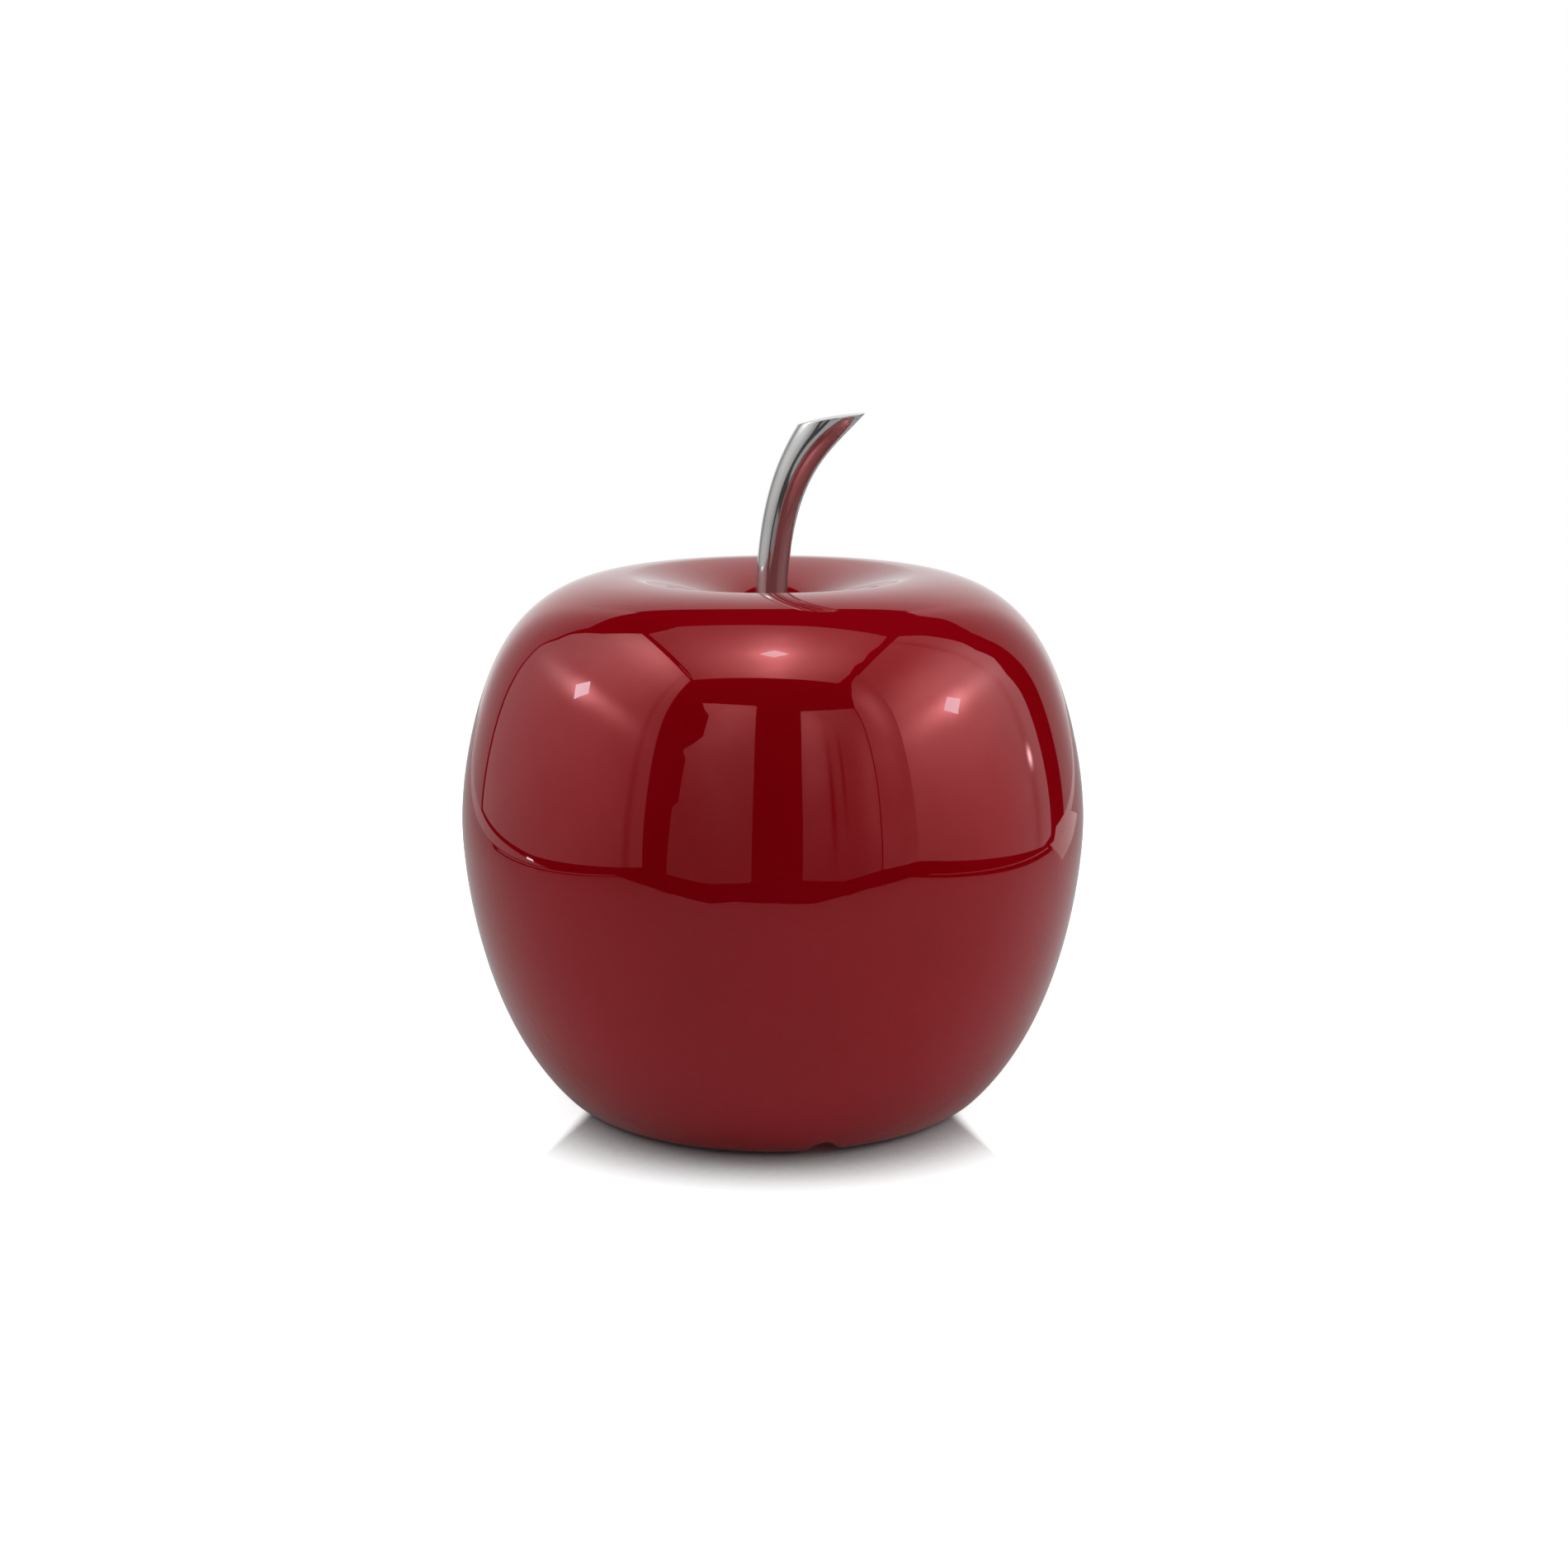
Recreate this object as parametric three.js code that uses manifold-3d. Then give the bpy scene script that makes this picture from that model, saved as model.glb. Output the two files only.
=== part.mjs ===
// Metal apple sculpture: a hollow apple cast in aluminium as two halves, red enamel outside,
// with a bent polished stem that is bolted into the dimple from inside.
// Millimetres, +Z up. The origin is on the floor under the middle of the body, and the front faces -Y.
import * as THREE from "three";
import { mergeVertices } from "three/addons/utils/BufferGeometryUtils.js";
import Module from "manifold-3d";

const wasm = await Module();
wasm.setup();

// Clearance between pieces that seat on or pass through each other
const fitGap = 0.3;

// Facets round the body and round the small pieces and bores, and along the body's outline.
// The inside of a shell, which hardly shows, has fewer than its outside.
const aroundSteps = 64;
const smallSteps = 36;
const shoulderSteps = 7;
const dimpleSteps = 6;
const flankSteps = 11;
const footEdgeSteps = 4;
const recessSteps = 6;
const innerShoulderSteps = 4;
const innerDimpleSteps = 3;
const innerFlankSteps = 6;
const innerRecessSteps = 4;
const notchArcSteps = 10;

// Height of the whole piece, floor to stem tip
const overallHeight = 279.4;

// Four round pads, let into spot faces in the foot
const padCount = 4;
const padRadius = 4.5;
const padThickness = 2.2;
const padStand = 1;
const padEdgeRound = 0.3;
const padFirstAngle = 45;

// Outside of the body, from the crest of the shoulder down to the foot
const bodyRadius = 127;
const wall = 4;
const crestRadius = 58.1;
const crestHeight = 214.9;
const crestReach = 27;
const shoulderInset = 14.1;
const shoulderDrop = 35;
const shoulderSlope = 65;
const shoulderReachUp = 23.3;
const shoulderReachDown = 16.8;
const seamHeight = 115.1;
const seamReachUp = 21.9;
const seamReachDown = 21.1;
const flankReach = 44.4;
const footEdgeRadius = 11.5;
const footEdgeSpan = 46.5;
const landOuterRadius = 81.8;
const landWidth = 11.4;
const footThickness = 9;

// Underside: a shallow dome inside the foot, with a round hand hole in the middle
const recessRise = 16;
const handHoleRadius = 27;
const handHoleLip = 2;

// Vent notch through the foot, to the right of the front
const notchWidth = 14;
const notchHeight = 6;
const notchAngle = -77.3;

// Dimple and the seat that the stem stands on
const dimpleDepth = 16;
const dimpleReach = 8;
const throatRadius = 20;
const throatDrop = 10.7;
const throatSlope = 27;
const throatReachUp = 18;
const throatReachDown = 5;
const seatRadius = 10;
const seatReach = 3;
const seatThickness = 8;
const bossRadius = 16;

// Tongue and rebate where the halves meet
const tongueHeight = 5;
const tongueThickness = 1.9;

// Stem: a round bar, bent to the right and to the front, that swells towards its cut end
const stemFootWidth = 12.8;
const stemMiddleWidth = 14.7;
const stemEndWidth = 20.6;
const stemFootOffset = -0.5;
const stemLean = -0.1;
const stemBackLean = 3.3;
const stemStraightRise = 58.5;
const stemBendOffset = 16;
const stemBendForward = 12.5;
const stemBendDrop = 11.5;
const stemEndOffset = 30.3;
const stemEndForward = 12.4;
const stemEndRise = 8.2;
const stemRoot = 2;
const stemTipOffset = 36.3;
const cutCrownRadius = 106;
const cutTilt = 9.7;
const cutLength = 27;
const stemSteps = 20;
const stemArcSteps = 11;
const crownSteps = 120;

// Stud and its washers and nut, an M8 set
const studRadius = 4;
const studInStem = 16;
const studTail = 4;
const studChamfer = 0.8;
const flatWasherRadius = 12;
const flatWasherThickness = 2;
const springWasherRadius = 7.4;
const springWasherThickness = 2;
const springWasherSplit = 1.6;
const springWasherSlant = 30;
const nutAcrossFlats = 13;
const nutThickness = 6.5;
const nutChamferDrop = 0.9;

// Heights and radii that follow from the sizes above
const landHeight = padStand;
const landInnerRadius = landOuterRadius - landWidth;
const landMiddleRadius = (landOuterRadius + landInnerRadius) / 2;
const seatHeight = crestHeight - dimpleDepth;
const bossUnderside = seatHeight - seatThickness;
const boreRadius = studRadius + fitGap;
const seamInnerRadius = bodyRadius - wall;
const tongueRadius = seamInnerRadius + tongueThickness;
const rebateRadius = tongueRadius + fitGap;
const rebateTop = seamHeight + tongueHeight + fitGap;

function point(radius, height) {
  return new THREE.Vector2(radius, height);
}

function radians(degrees) {
  return THREE.MathUtils.degToRad(degrees);
}

function curve(start, startPull, endPull, end, steps) {
  return new THREE.CubicBezierCurve(start, startPull, endPull, end).getPoints(steps);
}

// A body of revolution about Z. The outline closes on itself or starts and ends on the axis.
function turned(outline, steps = aroundSteps) {
  const anticlockwise = THREE.ShapeUtils.area(outline) > 0;
  const ordered = anticlockwise ? outline : outline.slice().reverse();
  const geometry = new THREE.LatheGeometry(ordered, steps);
  return geometry.rotateX(Math.PI / 2);
}

// A body of revolution with a hole through it, from the outline of its section
function turnedRing(outline, steps = aroundSteps) {
  return turned([...outline, outline[0].clone()], steps);
}

function toSolid(geometry) {
  const bare = geometry.clone();
  bare.deleteAttribute("normal");
  bare.deleteAttribute("uv");
  const merged = mergeVertices(bare, 1e-4);
  const vertProperties = Float32Array.from(merged.attributes.position.array);
  const triVerts = Uint32Array.from(merged.index.array);
  return new wasm.Manifold(new wasm.Mesh({ numProp: 3, vertProperties, triVerts }));
}

function toGeometry(solid) {
  const mesh = solid.getMesh();
  const geometry = new THREE.BufferGeometry();
  geometry.setAttribute("position", new THREE.BufferAttribute(mesh.vertProperties, 3));
  geometry.setIndex(new THREE.BufferAttribute(mesh.triVerts, 1));
  geometry.computeVertexNormals();
  return geometry;
}

// A cutter for the hole that the stud passes through, centred on the origin
function boreCutter(length) {
  const cutter = new THREE.CylinderGeometry(boreRadius, boreRadius, length, smallSteps);
  return cutter.rotateX(Math.PI / 2);
}

// Distance from a point to the nearest stretch of an outline
function distanceToOutline(place, outline) {
  const nearest = new THREE.Vector3();
  const flatPlace = new THREE.Vector3(place.x, place.y, 0);
  let least = Infinity;
  for (let i = 1; i < outline.length; i++) {
    const from = new THREE.Vector3(outline[i - 1].x, outline[i - 1].y, 0);
    const to = new THREE.Vector3(outline[i].x, outline[i].y, 0);
    new THREE.Line3(from, to).closestPointToPoint(flatPlace, true, nearest);
    least = Math.min(least, nearest.distanceTo(flatPlace));
  }
  return least;
}

// The inside face of a shell: the outside moved in by the wall, without the points that fold over.
// side is 1 where the metal lies to the left of the outline's direction, and -1 to the right.
function insideOf(outline, side) {
  const moved = [];
  for (let i = 1; i < outline.length - 1; i++) {
    const along = outline[i + 1].clone().sub(outline[i - 1]).normalize();
    const inward = point(-along.y * side, along.x * side);
    moved.push(outline[i].clone().addScaledVector(inward, wall));
  }
  const shareKept = 0.95;
  return moved.filter((place) => distanceToOutline(place, outline) > wall * shareKept);
}

// Outside of the upper half, from the seam over the shoulder and down the dimple to the seat
function upperOutline(sideSteps, hollowSteps) {
  const slope = radians(shoulderSlope);
  const downhill = point(Math.cos(slope), -Math.sin(slope));
  const seam = point(bodyRadius, seamHeight);
  const shoulder = point(bodyRadius - shoulderInset, crestHeight - shoulderDrop);
  const crest = point(crestRadius, crestHeight);
  const fall = radians(throatSlope);
  const inwards = point(-Math.cos(fall), -Math.sin(fall));
  const throat = point(throatRadius, crestHeight - throatDrop);
  const seatEdge = point(seatRadius, seatHeight);
  const side = curve(
    seam,
    point(bodyRadius, seamHeight + seamReachUp),
    shoulder.clone().addScaledVector(downhill, shoulderReachDown),
    shoulder,
    sideSteps,
  );
  const top = curve(
    shoulder,
    shoulder.clone().addScaledVector(downhill, -shoulderReachUp),
    point(crestRadius + crestReach, crestHeight),
    crest,
    sideSteps,
  );
  const dimple = curve(
    crest,
    point(crestRadius - dimpleReach, crestHeight),
    throat.clone().addScaledVector(inwards, -throatReachUp),
    throat,
    hollowSteps,
  );
  const bottom = curve(
    throat,
    throat.clone().addScaledVector(inwards, throatReachDown),
    point(seatRadius + seatReach, seatHeight),
    seatEdge,
    hollowSteps,
  );
  return [...side, ...top.slice(1), ...dimple.slice(1), ...bottom.slice(1)];
}

// Outside of the lower half, from the seam down to the foot and up the recess to the hand hole
function lowerOutline(sideSteps, hollowSteps) {
  const centre = point(landOuterRadius, landHeight + footEdgeRadius);
  const span = radians(footEdgeSpan);
  const edgeTop = point(
    centre.x + footEdgeRadius * Math.sin(span),
    centre.y - footEdgeRadius * Math.cos(span),
  );
  const uphill = point(Math.cos(span), Math.sin(span));
  const flank = curve(
    point(bodyRadius, seamHeight),
    point(bodyRadius, seamHeight - seamReachDown),
    edgeTop.clone().addScaledVector(uphill, flankReach),
    edgeTop,
    sideSteps,
  );
  const bottom = -Math.PI / 2;
  const edge = new THREE.EllipseCurve(
    centre.x, centre.y, footEdgeRadius, footEdgeRadius, bottom + span, bottom, true,
  ).getPoints(footEdgeSteps);
  const recess = new THREE.EllipseCurve(
    handHoleRadius, landHeight, landInnerRadius - handHoleRadius, recessRise, 0, Math.PI / 2, false,
  ).getPoints(hollowSteps);
  return [...flank, ...edge.slice(1), ...recess];
}

// Upper half: shoulder, crest and dimple, with a boss under the seat and a rebate at the seam
function upperShell() {
  const outside = upperOutline(shoulderSteps, dimpleSteps);
  outside[0].y += fitGap;
  const inside = insideOf(upperOutline(innerShoulderSteps, innerDimpleSteps), 1)
    .filter((place) => place.y > rebateTop + fitGap && place.x > bossRadius + fitGap)
    .reverse();
  return turnedRing([
    ...outside,
    point(boreRadius, seatHeight),
    point(boreRadius, bossUnderside),
    point(bossRadius, bossUnderside),
    ...inside,
    point(seamInnerRadius, rebateTop),
    point(rebateRadius, rebateTop),
    point(rebateRadius, seamHeight + fitGap),
  ]);
}

// The notch is a half oval cut that runs out through the foot, square to its edge.
function notchCutter() {
  const opening = new THREE.Shape();
  opening.absellipse(0, 0, notchWidth / 2, notchHeight, 0, Math.PI * 2, false, 0);
  const run = bodyRadius - landInnerRadius;
  const cutter = new THREE.ExtrudeGeometry(opening, {
    depth: run + wall,
    bevelEnabled: false,
    curveSegments: notchArcSteps,
  });
  cutter.rotateX(Math.PI / 2).rotateZ(Math.PI / 2);
  cutter.translate(landInnerRadius - wall, 0, landHeight);
  return cutter.rotateZ(radians(notchAngle));
}

function padAngle(index) {
  return radians(padFirstAngle + (360 * index) / padCount);
}

// Lower half: flank, foot and recessed underside, with a tongue at the seam.
// Spot faces for the pads and the vent notch are cut afterwards.
function lowerShell() {
  const outside = lowerOutline(flankSteps, recessSteps);
  const holeEdge = outside[outside.length - 1];
  const inside = insideOf(lowerOutline(innerFlankSteps, innerRecessSteps), -1)
    .filter((place) => place.y < seamHeight - wall && place.y > landHeight + footThickness)
    .filter((place) => place.x > handHoleRadius + handHoleLip)
    .reverse();
  const revolved = turnedRing([
    ...outside,
    point(handHoleRadius, holeEdge.y + wall + handHoleLip),
    point(handHoleRadius + handHoleLip, holeEdge.y + wall + handHoleLip),
    ...inside,
    point(seamInnerRadius, seamHeight),
    point(seamInnerRadius, seamHeight + tongueHeight),
    point(tongueRadius, seamHeight + tongueHeight),
    point(tongueRadius, seamHeight),
  ]);
  let shell = toSolid(revolved).subtract(toSolid(notchCutter()));
  const spotFaceDepth = padThickness + fitGap - padStand;
  const spotFaceRadius = padRadius + fitGap;
  const cutLengthUp = spotFaceDepth + wall;
  for (let i = 0; i < padCount; i++) {
    const cutter = new THREE.CylinderGeometry(spotFaceRadius, spotFaceRadius, cutLengthUp, smallSteps);
    cutter.rotateX(Math.PI / 2);
    cutter.translate(landMiddleRadius, 0, landHeight + (spotFaceDepth - wall) / 2);
    cutter.rotateZ(padAngle(i));
    shell = shell.subtract(toSolid(cutter));
  }
  return toGeometry(shell);
}

function footPad() {
  return turned([
    point(0, 0),
    point(padRadius - padEdgeRound, 0),
    point(padRadius, padEdgeRound),
    point(padRadius, padThickness),
    point(0, padThickness),
  ], smallSteps);
}

// Stem width at a share of its length: a parabola through the three stated widths
function stemWidth(share) {
  const foot = stemFootWidth * (1 - share) * (1 - 2 * share);
  const middle = stemMiddleWidth * 4 * share * (1 - share);
  const end = stemEndWidth * share * (2 * share - 1);
  return foot + middle + end;
}

// The stem is a straight round bar bent along its centre line and swelled, then cut to shape:
// flat where it stands, slightly crowned at the slanting end, and bored for the stud.
function stemSolid() {
  const foot = seatHeight + fitGap;
  const centreLine = new THREE.CubicBezierCurve3(
    new THREE.Vector3(stemFootOffset, 0, foot - stemRoot),
    new THREE.Vector3(stemLean, stemBackLean, foot + stemStraightRise),
    new THREE.Vector3(stemBendOffset, -stemBendForward, overallHeight - stemBendDrop),
    new THREE.Vector3(stemEndOffset, -stemEndForward, overallHeight + stemEndRise),
  );
  const section = new THREE.Shape();
  section.absarc(0, 0, 1 / 2, 0, Math.PI * 2);
  const bar = new THREE.ExtrudeGeometry(section, {
    depth: 1,
    steps: stemSteps,
    bevelEnabled: false,
    curveSegments: stemArcSteps,
  });
  const places = bar.attributes.position;
  for (let i = 0; i < places.count; i++) {
    const share = places.getZ(i);
    const along = centreLine.getTangent(share);
    const toRight = new THREE.Vector3(0, 1, 0).cross(along).normalize();
    const toBack = new THREE.Vector3().crossVectors(along, toRight);
    const place = centreLine.getPoint(share);
    place.addScaledVector(toRight, places.getX(i) * stemWidth(share));
    place.addScaledVector(toBack, places.getY(i) * stemWidth(share));
    places.setXYZ(i, place.x, place.y, place.z);
  }
  const blank = toSolid(bar);

  const reach = overallHeight;
  const belowFoot = new THREE.BoxGeometry(reach, reach, reach).translate(0, 0, foot - reach / 2);
  const studBore = boreCutter((studInStem + fitGap) * 2).translate(0, 0, foot);

  const tilt = radians(cutTilt);
  const halfCut = cutLength / 2;
  const centreDrop = Math.sqrt(cutCrownRadius ** 2 - halfCut ** 2);
  const crownX = stemTipOffset - halfCut * Math.cos(tilt) + centreDrop * Math.sin(tilt);
  const crownZ = overallHeight - halfCut * Math.sin(tilt) - centreDrop * Math.cos(tilt);
  const crown = new THREE.SphereGeometry(cutCrownRadius, crownSteps, crownSteps / 2).rotateX(Math.PI / 2);
  crown.translate(crownX, -stemEndForward, crownZ);

  const cutToShape = blank.subtract(toSolid(belowFoot)).intersect(toSolid(crown));
  return toGeometry(cutToShape.subtract(toSolid(studBore)));
}

// Heights down the stud, under the boss
const flatWasherTop = bossUnderside - fitGap;
const springWasherTop = flatWasherTop - flatWasherThickness - fitGap;
const nutTop = springWasherTop - springWasherThickness - fitGap;
const studBottom = nutTop - nutThickness - studTail;
const studTop = seatHeight + fitGap + studInStem;

function stud() {
  return turned([
    point(0, studBottom),
    point(studRadius - studChamfer, studBottom),
    point(studRadius, studBottom + studChamfer),
    point(studRadius, studTop - studChamfer),
    point(studRadius - studChamfer, studTop),
    point(0, studTop),
  ], smallSteps);
}

function washer(outerRadius, thickness) {
  return turnedRing([
    point(boreRadius, 0),
    point(outerRadius, 0),
    point(outerRadius, thickness),
    point(boreRadius, thickness),
  ], smallSteps);
}

// A spring washer is a washer with a slanting split through one side.
function springWasher() {
  const ring = toSolid(washer(springWasherRadius, springWasherThickness));
  const splitReach = (springWasherThickness + springWasherSplit) * 2;
  const split = new THREE.BoxGeometry(springWasherRadius * 2, springWasherSplit, splitReach);
  split.rotateX(radians(springWasherSlant));
  split.translate(springWasherRadius, 0, springWasherThickness / 2);
  return toGeometry(ring.subtract(toSolid(split)));
}

// A hexagon bar, bored, with its corners turned down at both faces
function nut() {
  const cornerRadius = nutAcrossFlats / Math.sqrt(3);
  const bar = new THREE.CylinderGeometry(cornerRadius, cornerRadius, nutThickness, 6);
  bar.rotateX(Math.PI / 2).translate(0, 0, nutThickness / 2);
  const faceRadius = nutAcrossFlats / 2;
  const turnedCorners = turned([
    point(0, 0),
    point(faceRadius, 0),
    point(cornerRadius + fitGap, nutChamferDrop),
    point(cornerRadius + fitGap, nutThickness - nutChamferDrop),
    point(faceRadius, nutThickness),
    point(0, nutThickness),
  ], smallSteps);
  const bore = boreCutter(nutThickness * 2).translate(0, 0, nutThickness / 2);
  return toGeometry(toSolid(bar).intersect(toSolid(turnedCorners)).subtract(toSolid(bore)));
}

const redEnamel = { color: 0x7c1a24, roughness: 0.12, metalness: 0.1 };
const polishedAluminium = { color: 0xc9c9c7, roughness: 0.08, metalness: 1 };
const platedSteel = { color: 0xa9abae, roughness: 0.35, metalness: 1 };
const blackRubber = { color: 0x141414, roughness: 0.9, metalness: 0 };

const apple = new THREE.Group();

function addPiece(name, geometry, finish) {
  const piece = new THREE.Mesh(geometry, new THREE.MeshStandardMaterial(finish));
  piece.name = name;
  apple.add(piece);
  return piece;
}

for (let i = 0; i < padCount; i++) {
  const pad = addPiece(`foot_pad_${i + 1}`, footPad(), blackRubber);
  pad.position.set(landMiddleRadius * Math.cos(padAngle(i)), landMiddleRadius * Math.sin(padAngle(i)), 0);
}
addPiece("lower_body_shell", lowerShell(), redEnamel);
addPiece("upper_body_shell", upperShell(), redEnamel);
addPiece("stem", stemSolid(), polishedAluminium);
addPiece("stem_stud", stud(), platedSteel);
const flatWasher = addPiece("stem_flat_washer", washer(flatWasherRadius, flatWasherThickness), platedSteel);
flatWasher.position.z = flatWasherTop - flatWasherThickness;
const lockWasher = addPiece("stem_spring_washer", springWasher(), platedSteel);
lockWasher.position.z = springWasherTop - springWasherThickness;
const stemNut = addPiece("stem_nut", nut(), platedSteel);
stemNut.position.z = nutTop - nutThickness;

export default apple;
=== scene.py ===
from math import atan2, cos, exp, hypot, pi, radians, sin, sqrt, tau

import bmesh
import bpy
from mathutils import Matrix, Vector


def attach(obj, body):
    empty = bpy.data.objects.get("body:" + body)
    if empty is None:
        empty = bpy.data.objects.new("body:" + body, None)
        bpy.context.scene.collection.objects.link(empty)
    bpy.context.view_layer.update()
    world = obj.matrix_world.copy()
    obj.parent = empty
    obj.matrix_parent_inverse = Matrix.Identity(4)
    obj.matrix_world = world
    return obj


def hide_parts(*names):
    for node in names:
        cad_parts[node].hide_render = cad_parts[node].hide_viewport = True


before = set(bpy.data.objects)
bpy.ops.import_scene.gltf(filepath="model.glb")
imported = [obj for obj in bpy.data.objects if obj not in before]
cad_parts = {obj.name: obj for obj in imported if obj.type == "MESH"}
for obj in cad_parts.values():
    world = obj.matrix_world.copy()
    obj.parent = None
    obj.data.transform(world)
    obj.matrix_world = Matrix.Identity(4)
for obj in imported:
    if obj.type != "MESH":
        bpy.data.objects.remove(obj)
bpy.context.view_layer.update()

# LOWER HALF OF THE BODY
# Cast aluminium, 4 mm thick, from the widest line down to the ring foot, with a domed recess and a
# round hand hole underneath. It is lacquered red over the foot and recess, and left bare inside.
BODY_RADIUS = 0.127
WALL = 0.004
SEAM_HEIGHT = 0.1151
NEAR_SEAM = 0.0001
SEAM_PULL = 0.0211
FOOT_PULL = 0.0444
FLANK_STEPS = 96
FOOT_EDGE_RADIUS = 0.0115
FOOT_EDGE_SPAN = radians(46.5)
FOOT_STEPS = 24
LAND_HEIGHT = 0.001
LAND_OUTER = 0.0818
LAND_INNER = 0.0704
RECESS_RISE = 0.016
RECESS_STEPS = 30
HAND_HOLE = 0.027
HAND_HOLE_LIP = 0.002
FOOT_THICKNESS = 0.009
TONGUE_HEIGHT = 0.005
TONGUE_THICKNESS = 0.0019
NOTCH_ANGLE = radians(-77.3)
NOTCH_LEFT = 0.0082
NOTCH_RIGHT = 0.0062
NOTCH_HEIGHT = 0.0060
NOTCH_EASE = 0.0007
LACQUERED_EASE = 0.0008
BARE_EASE = 0.0005
WEDGES = 15
NOTCH_STEPS = 72
PLAIN_STEPS = 17


def at(radius, height):
    """A place on a section: distance from the axis, and height above the floor."""
    return Vector((radius, height))


def bezier(start, pull_start, pull_end, end, steps):
    """Points along a cubic curve."""
    places = []
    for i in range(steps + 1):
        t = i / steps
        u = 1 - t
        places.append(u**3 * start + 3 * u * u * t * pull_start + 3 * u * t * t * pull_end + t**3 * end)
    return places


def eased(places, radius, turn=radians(25), steps=4):
    """Rounds each corner of a section that turns by more than a little."""
    result = [places[0]]
    for before, corner, after in zip(places, places[1:], places[2:]):
        back, on = before - corner, after - corner
        if min(back.length, on.length) < 1e-7 or pi - back.angle(on) < turn:
            result.append(corner)
            continue
        reach = min(radius, back.length * 0.45, on.length * 0.45)
        first, last = corner + back.normalized() * reach, corner + on.normalized() * reach
        for i in range(steps + 1):
            t = i / steps
            result.append((1 - t) ** 2 * first + 2 * t * (1 - t) * corner + t * t * last)
    return result + [places[-1]]


def moved_in(outline, side):
    """The inside face of a wall, without the places that fold over."""
    result = []
    for before, here, after in zip(outline, outline[1:], outline[2:]):
        along = (after - before).normalized()
        place = here + Vector((-along.y, along.x)) * side * WALL
        if min((place - other).length for other in outline) > WALL * 0.97:
            result.append(place)
    return result


def turn_section(bm, section, steps, material=0, start=0.0, arc=tau, copies=1):
    """Spins an open chain of section places about the Z axis, and sets copies of that arc side by side."""
    part = bmesh.new()
    chain = [part.verts.new((r * cos(start), r * sin(start), z)) for r, z in section]
    geom = chain + [part.edges.new(pair) for pair in zip(chain, chain[1:])]
    about = {"cent": (0, 0, 0), "axis": (0, 0, 1), "dvec": (0, 0, 0)}
    bmesh.ops.spin(part, geom=geom, angle=arc, steps=steps, use_duplicate=False, **about)
    if copies > 1:
        geom = part.verts[:] + part.edges[:] + part.faces[:]
        bmesh.ops.spin(part, geom=geom, angle=arc * (copies - 1), steps=copies - 1,
                       use_duplicate=True, **about)
    for face in part.faces:
        face.material_index = material
    mesh = bpy.data.meshes.new("section")
    part.to_mesh(mesh)
    part.free()
    bm.from_mesh(mesh)
    bpy.data.meshes.remove(mesh)


def close_up(bm, merge=4e-6, sharp=radians(38)):
    """Merges what meets, turns faces outwards and keeps real corners crisp."""
    bmesh.ops.remove_doubles(bm, verts=bm.verts, dist=merge)
    bmesh.ops.dissolve_degenerate(bm, dist=merge / 10, edges=bm.edges)
    bmesh.ops.recalc_face_normals(bm, faces=bm.faces)
    for face in bm.faces:
        face.smooth = True
    for edge in bm.edges:
        edge.smooth = len(edge.link_faces) != 2 or edge.calc_face_angle() < sharp


def make_piece(bm, name, *materials):
    """Turns a finished bmesh into an object of the scene, at the origin."""
    mesh = bpy.data.meshes.new(name)
    bm.to_mesh(mesh)
    bm.free()
    piece = bpy.data.objects.new(name, mesh)
    bpy.context.scene.collection.objects.link(piece)
    for material in materials:
        mesh.materials.append(material)
    return piece


def node_material(name):
    """A new material, with its shader and its node tree."""
    material = bpy.data.materials.new(name)
    material.use_nodes = True
    tree = material.node_tree
    return material, tree.nodes["Principled BSDF"], tree


def add_node(tree, kind, values=None, links=None, **settings):
    """Adds a node, sets its properties, its input values, and links its inputs from other nodes' outputs."""
    node = tree.nodes.new(kind)
    for key, value in settings.items():
        setattr(node, key, value)
    for key, value in (values or {}).items():
        node.inputs[key].default_value = value
    for key, source in (links or {}).items():
        tree.links.new(source, node.inputs[key])
    return node


def ramp(tree, factor, stops):
    """A colour ramp through the given stops: (place, (r, g, b))."""
    node = add_node(tree, "ShaderNodeValToRGB", links={"Fac": factor})
    while len(node.color_ramp.elements) < len(stops):
        node.color_ramp.elements.new(0.5)
    for element, (place, colour) in zip(node.color_ramp.elements, stops):
        element.position = place
        element.color = (*colour, 1)
    return node.outputs["Color"]


def lower_outline():
    """The lacquered section of the lower half: flank, rounded foot edge, and domed recess."""
    centre = at(LAND_OUTER, LAND_HEIGHT + FOOT_EDGE_RADIUS)
    uphill = at(cos(FOOT_EDGE_SPAN), sin(FOOT_EDGE_SPAN))
    edge_top = centre + at(sin(FOOT_EDGE_SPAN), -cos(FOOT_EDGE_SPAN)) * FOOT_EDGE_RADIUS
    flank = bezier(at(BODY_RADIUS, SEAM_HEIGHT), at(BODY_RADIUS, SEAM_HEIGHT - SEAM_PULL),
                   edge_top + uphill * FOOT_PULL, edge_top, FLANK_STEPS)
    edge = []
    for i in range(1, FOOT_STEPS + 1):
        a = FOOT_EDGE_SPAN * (1 - i / FOOT_STEPS)
        edge.append(centre + at(sin(a), -cos(a)) * FOOT_EDGE_RADIUS)
    recess = []
    for i in range(RECESS_STEPS + 1):
        a = pi / 2 * i / RECESS_STEPS
        recess.append(at(HAND_HOLE + (LAND_INNER - HAND_HOLE) * cos(a), LAND_HEIGHT + RECESS_RISE * sin(a)))
    return flank, edge, recess


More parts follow.
